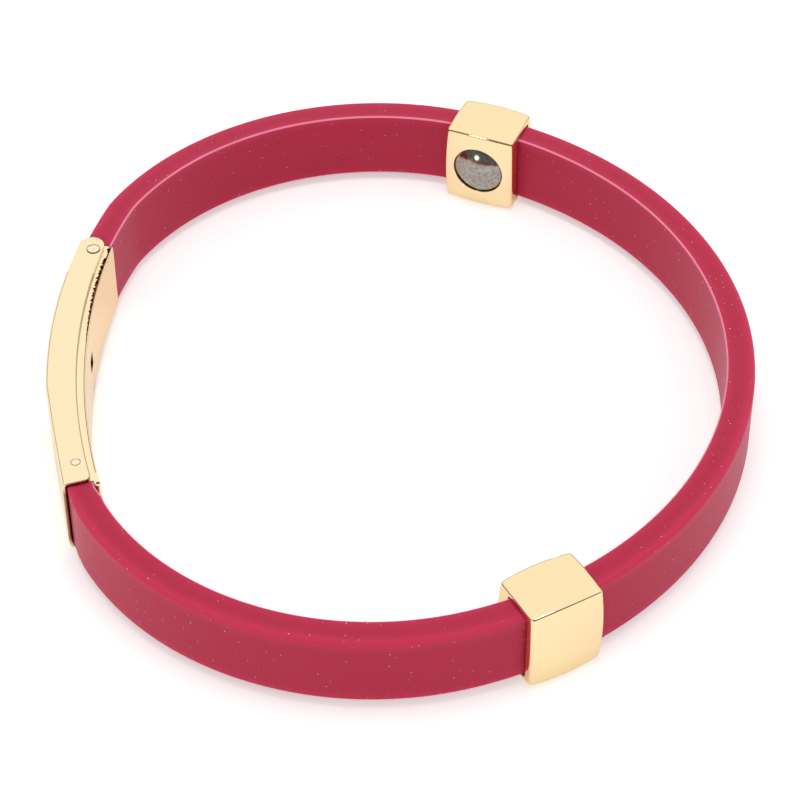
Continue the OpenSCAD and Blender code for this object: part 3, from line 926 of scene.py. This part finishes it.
band()
clasp_cover()
clasp_base()
hinge_pin()
latch_studs()
bead("front_bead_cast", "front_bead", FRONT_BEAD_ANGLE, "bead_front_shell")
bead("back_bead_cast", "back_bead", BACK_BEAD_ANGLE, "bead_back_shell")
magnet("front_magnet_disc", "front_bead", FRONT_BEAD_ANGLE, "bead_front_magnet")
magnet("back_magnet_disc", "back_bead", BACK_BEAD_ANGLE, "bead_back_magnet")
for node, material in (("hook_loop", GOLD_SHEET), ("loop_pin", GOLD_WIRE)):
    piece = frame["nodes"][node]
    piece.data.materials.clear()
    piece.data.materials.append(material)

# ---------------------------------------------------------------- floor, light and camera

# The table's glow in mirrors and to the camera, and half its side in millimetres
MIRRORED_GLOW = 0.28
WATCHED_GLOW = 0.4
TABLE_HALF = 3000
# The tent's level for light that isn't mirrored
TENT_LEVEL = 0.62


def greatest(tree, *values):
    """The greatest of several values, such as the flags of a light path."""
    most = values[0]
    for value in values[1:]:
        most = add_node(tree, "ShaderNodeMath", {"operation": "MAXIMUM"}, i0=most, i1=value).outputs[0]
    return most


def floor():
    """A plain white table top that keeps the soft shadow. It glows for the camera and, less, for mirrors."""
    material, tree = new_material("white_table")
    path = add_node(tree, "ShaderNodeLightPath").outputs
    seen = greatest(tree, path["Is Camera Ray"], path["Is Glossy Ray"], path["Is Transmission Ray"])
    matt = add_node(tree, "ShaderNodeBsdfDiffuse", Color=linear("#f2f2f2"))
    glow = add_node(tree, "ShaderNodeEmission", Color=(1, 1, 1, 1))
    mirrored = add_node(tree, "ShaderNodeMath", {"operation": "MULTIPLY"}, i0=seen, i1=MIRRORED_GLOW)
    watched = add_node(tree, "ShaderNodeMath", {"operation": "MULTIPLY"},
                       i0=path["Is Camera Ray"], i1=WATCHED_GLOW)
    tree.links.new(greatest(tree, mirrored.outputs[0], watched.outputs[0]), glow.inputs["Strength"])
    both = add_node(tree, "ShaderNodeAddShader", i0=matt.outputs[0], i1=glow.outputs[0])
    close_material(tree, both)
    corners = [(x * TABLE_HALF, y * TABLE_HALF, 0) for x, y in ((-1, -1), (1, -1), (1, 1), (-1, 1))]
    top = make_object("table_top", corners, [(0, 1, 2, 3)], lift=False)
    top.data.materials.append(material)


def world():
    """A white tent, at a plain level for the light that falls on the object. Polished metal also mirrors the
    dim room that shows under the tent's rim, which is highest at the front."""
    surroundings = bpy.data.worlds.new("white_tent")
    bpy.context.scene.world = surroundings
    surroundings.use_nodes = True
    tree = surroundings.node_tree
    tree.nodes.clear()
    path = add_node(tree, "ShaderNodeLightPath").outputs
    way = add_node(tree, "ShaderNodeTexCoord").outputs["Generated"]
    parts = add_node(tree, "ShaderNodeSeparateXYZ", Vector=way).outputs
    front = add_node(tree, "ShaderNodeMapRange", Value=parts["Y"], From_Min=0.0, From_Max=-0.8,
                     To_Min=0.18, To_Max=0.66)
    above = add_node(tree, "ShaderNodeMath", {"operation": "SUBTRACT"}, i0=parts["Z"], i1=front.outputs[0])
    tent = add_node(tree, "ShaderNodeMapRange", {"interpolation_type": "SMOOTHSTEP"}, Value=above.outputs[0],
                    From_Min=-0.1, From_Max=0.1, To_Min=0.2, To_Max=1.0)
    level = add_node(tree, "ShaderNodeMix", {"data_type": "FLOAT"}, Factor=path["Is Glossy Ray"],
                     i2=TENT_LEVEL, i3=tent.outputs[0])
    strength = greatest(tree, level.outputs[0], path["Is Camera Ray"], path["Is Transmission Ray"])
    light = add_node(tree, "ShaderNodeBackground", Color=(1, 1, 1, 1), Strength=strength)
    add_node(tree, "ShaderNodeOutputWorld", Surface=light.outputs[0])


def softbox(name, at, size, watts):
    """A round soft light that faces the origin."""
    lamp = bpy.data.lights.new(name, "AREA")
    lamp.shape = "DISK"
    lamp.size = size
    lamp.energy = watts
    holder = bpy.data.objects.new(name, lamp)
    bpy.context.scene.collection.objects.link(holder)
    holder.location = at
    holder.rotation_euler = (Vector() - Vector(at)).to_track_quat("-Z", "Y").to_euler()
    return holder


def camera():
    """The camera, from above the band's near side."""
    eye = Vector((-0.77134, -188.6285, 172.8074 + MID_Z)) * MM
    forward = Vector((0.00254014, 0.73048358, -0.68292554))
    up = Vector((0.00967448, 0.68287783, 0.73046853))
    right = forward.cross(up).normalized()
    up = right.cross(forward).normalized()
    lens = bpy.data.cameras.new("camera")
    lens.lens = 123.383
    lens.sensor_width = 36
    lens.clip_start = 0.01
    holder = bpy.data.objects.new("camera", lens)
    bpy.context.scene.collection.objects.link(holder)
    turn = Matrix((right, up, -forward)).transposed().to_4x4()
    holder.matrix_world = Matrix.Translation(eye) @ turn
    bpy.context.scene.camera = holder


floor()
world()
# Polished metal mirrors the tent instead of the top light, or it would be white from above
softbox("top_light", (0.0, 0.0, 0.5), size=0.22, watts=0.55).visible_glossy = False
softbox("edge_light", (0.245, -0.3, 0.365), size=0.12, watts=0.12)
softbox("front_light", (-0.38, -0.42, 0.12), size=0.1, watts=0.2)
camera()
bpy.context.scene.view_settings.view_transform = "Standard"
